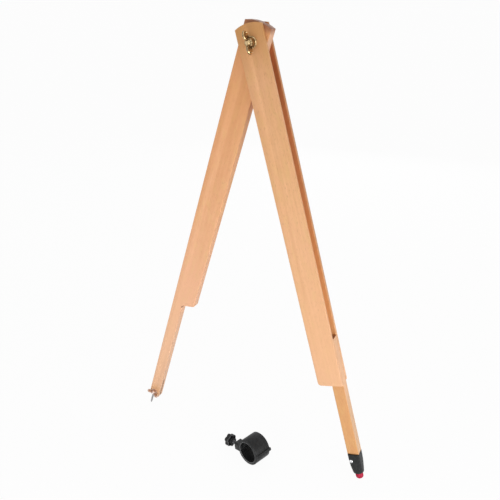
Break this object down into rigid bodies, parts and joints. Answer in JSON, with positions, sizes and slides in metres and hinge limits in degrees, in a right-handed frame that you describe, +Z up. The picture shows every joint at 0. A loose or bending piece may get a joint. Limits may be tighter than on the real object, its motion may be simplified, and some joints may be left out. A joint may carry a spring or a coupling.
{
  "type": "chalkboard compass",
  "caption": "Wooden chalkboard compass: legs fold on a wing nut pivot, one foot grips a steel needle, the other a chalk holder, with a loose screw clamp for a marker.",
  "frame": {"origin": "on the pivot axis, half way through the thickness of the boards", "axes": "+X to the right towards the chalk foot, +Y through the boards to the back, +Z up"},
  "size_m": [0.3687, 0.0716, 0.6079],
  "materials": {
    "beech": "lacquered beech",
    "pale_beech": "lacquered pale beech",
    "brass": "dull brass plate",
    "steel": "zinc plated",
    "black_plastic": "satin moulded",
    "red_chalk": "dusty matt"
  },
  "bodies": {
    "chalk_side": {"front_cheek": "beech", "rear_cheek": "beech", "chalk_leg_core": "pale_beech", "pivot_bolt": "brass", "chalk_holder": "black_plastic", "holder_screw": "steel"},
    "needle_side": {"needle_leg": "beech", "pinch_bolt": "steel"},
    "pivot_washer_body": {"pivot_washer": "steel"},
    "pivot_nut_body": {"pivot_wing_nut": "brass"},
    "needle_body": {"needle": "steel"},
    "pinch_washer_body": {"pinch_washer": "steel"},
    "pinch_nut_body": {"pinch_wing_nut": "brass"},
    "chalk_body": {"chalk": "red_chalk"},
    "marker_clamp": {"clamp_ring": "black_plastic", "clamp_insert": "brass"},
    "pad_body": {"clamp_pad": "black_plastic"},
    "knob_body": {"clamp_screw": "steel", "clamp_knob": "black_plastic"}
  },
  "joints": [
    {"name": "leg_hinge", "type": "hinge", "parent": "chalk_side", "child": "needle_side", "pos_m": [0, 0, 0], "axis": [0, 1, 0], "range_deg": [-32.6, 147.4]},
    {"name": "pivot_washer_slide", "type": "slide", "parent": "chalk_side", "child": "pivot_washer_body", "axis": [0, -1, 0], "range_m": [0, 0.002]},
    {"name": "pivot_nut_turn", "type": "hinge", "parent": "pivot_washer_body", "child": "pivot_nut_body", "pos_m": [0, -0.017, 0], "axis": [0, -1, 0], "range_deg": [0, 721]},
    {"name": "needle_slide", "type": "slide", "parent": "needle_side", "child": "needle_body", "axis": [-0.2807, 0, -0.9598], "range_m": [-0.02, 0.01]},
    {"name": "pinch_washer_slide", "type": "slide", "parent": "needle_side", "child": "pinch_washer_body", "axis": [0, -1, 0], "range_m": [0, 0.0014]},
    {"name": "pinch_nut_turn", "type": "hinge", "parent": "pinch_washer_body", "child": "pinch_nut_body", "pos_m": [-0.17038, -0.01, -0.55166], "axis": [0, -1, 0], "range_deg": [0, 721]},
    {"name": "chalk_slide", "type": "slide", "parent": "chalk_side", "child": "chalk_body", "axis": [0.2807, 0, -0.9598], "range_m": [0, 0.01]},
    {"name": "marker_clamp_lift", "type": "slide", "parent": "chalk_side", "child": "marker_clamp", "axis": [0, 0, 1], "range_m": [0, 0.08]},
    {"name": "clamp_pad_slide", "type": "slide", "parent": "marker_clamp", "child": "pad_body", "axis": [0.9191, -0.3345, 0.2083], "range_m": [0, 0.01]},
    {"name": "clamp_knob_turn", "type": "hinge", "parent": "pad_body", "child": "knob_body", "pos_m": [-0.00021, -0.03405, -0.56989], "axis": [0.9191, -0.3345, 0.2083], "range_deg": [0, 4505]}
  ],
  "couplings": [
    {"joint": "pivot_nut_turn", "follows": "pivot_washer_slide", "rad_per_m": 6283.2},
    {"joint": "pinch_nut_turn", "follows": "pinch_washer_slide", "rad_per_m": 8976},
    {"joint": "clamp_knob_turn", "follows": "clamp_pad_slide", "rad_per_m": 7854}
  ]
}
